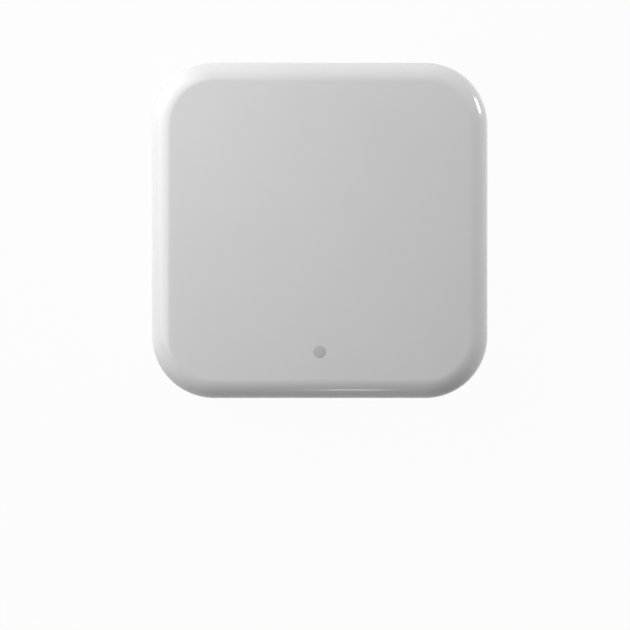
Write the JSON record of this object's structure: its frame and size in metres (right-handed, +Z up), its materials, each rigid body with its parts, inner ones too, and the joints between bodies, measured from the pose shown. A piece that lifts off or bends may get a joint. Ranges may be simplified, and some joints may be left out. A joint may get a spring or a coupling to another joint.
{
  "type": "smart home gateway",
  "caption": "Flat square white desktop gateway with well rounded corners, a small grey status light on top, and a power socket and a press button at the rear.",
  "frame": {"origin": "under the middle of the case, on the plane that its rubber feet rest on", "axes": "+Z up, -Y the front where the status light is, +Y the rear where the power socket is"},
  "size_m": [0.07, 0.07, 0.0254],
  "materials": {
    "white_case": "smooth satin moulded white",
    "light_window": "frosted grey diffuser",
    "button_plastic": "smooth satin moulded light grey",
    "foot_rubber": "fine matte",
    "screw_steel": "zinc plated",
    "board_laminate": "solder resist over glass laminate",
    "module_laminate": "black solder resist",
    "shield_steel": "tinned sheet",
    "socket_steel": "nickel plated sheet",
    "socket_insulator": "moulded black",
    "contact_gold": "gold plated",
    "antenna_copper": "copper under clear resist",
    "switch_plastic": "moulded black",
    "lead_tin": "bright tin plating",
    "seal_foam": "closed cell foam",
    "lamp_plastic": "moulded white",
    "lamp_resin": "cast resin",
    "can_aluminium": "drawn, satin",
    "moulded_epoxy": "moulded black epoxy",
    "fuse_body": "laminated green",
    "capacitor_ceramic": "fired tan ceramic",
    "resistor_ceramic": "glazed black on white alumina"
  },
  "bodies": {
    "case": {"top_cover": "white_case", "base_plate": "white_case", "rubber_foot_front_left": "foot_rubber", "rubber_foot_front_right": "foot_rubber", "rubber_foot_rear_left": "foot_rubber", "rubber_foot_rear_right": "foot_rubber", "case_screws": "screw_steel", "board_screws": "screw_steel", "main_board": "board_laminate", "power_socket_shell": "socket_steel", "power_socket_core": "socket_insulator", "power_socket_contacts": "contact_gold", "reset_switch_housing": "switch_plastic", "reset_switch_frame": "shield_steel", "reset_switch_terminals": "lead_tin", "light_pipe": "light_window", "light_seal": "seal_foam", "indicator_led_body": "lamp_plastic", "indicator_led_lens": "lamp_resin", "indicator_led_leads": "lead_tin", "network_radio_board": "module_laminate", "network_radio_shield": "shield_steel", "network_radio_antenna": "antenna_copper", "short_range_radio_board": "module_laminate", "short_range_radio_shield": "shield_steel", "short_range_radio_antenna": "antenna_copper", "capacitor_base_left": "socket_insulator", "capacitor_base_right": "socket_insulator", "capacitor_can_left": "can_aluminium", "capacitor_can_right": "can_aluminium", "regulator_body": "moulded_epoxy", "regulator_leads": "lead_tin", "surge_diode_body": "moulded_epoxy", "surge_diode_leads": "lead_tin", "input_fuse": "fuse_body", "chip_capacitors": "capacitor_ceramic", "chip_resistors": "resistor_ceramic"},
    "reset_key": {"reset_button": "button_plastic", "reset_switch_plunger": "switch_plastic"}
  },
  "joints": [
    {"name": "reset_button_press", "type": "slide", "parent": "case", "child": "reset_key", "axis": [0, -1, 0], "range_m": [0, 0.0003], "stiffness_N_per_m": 6000}
  ]
}
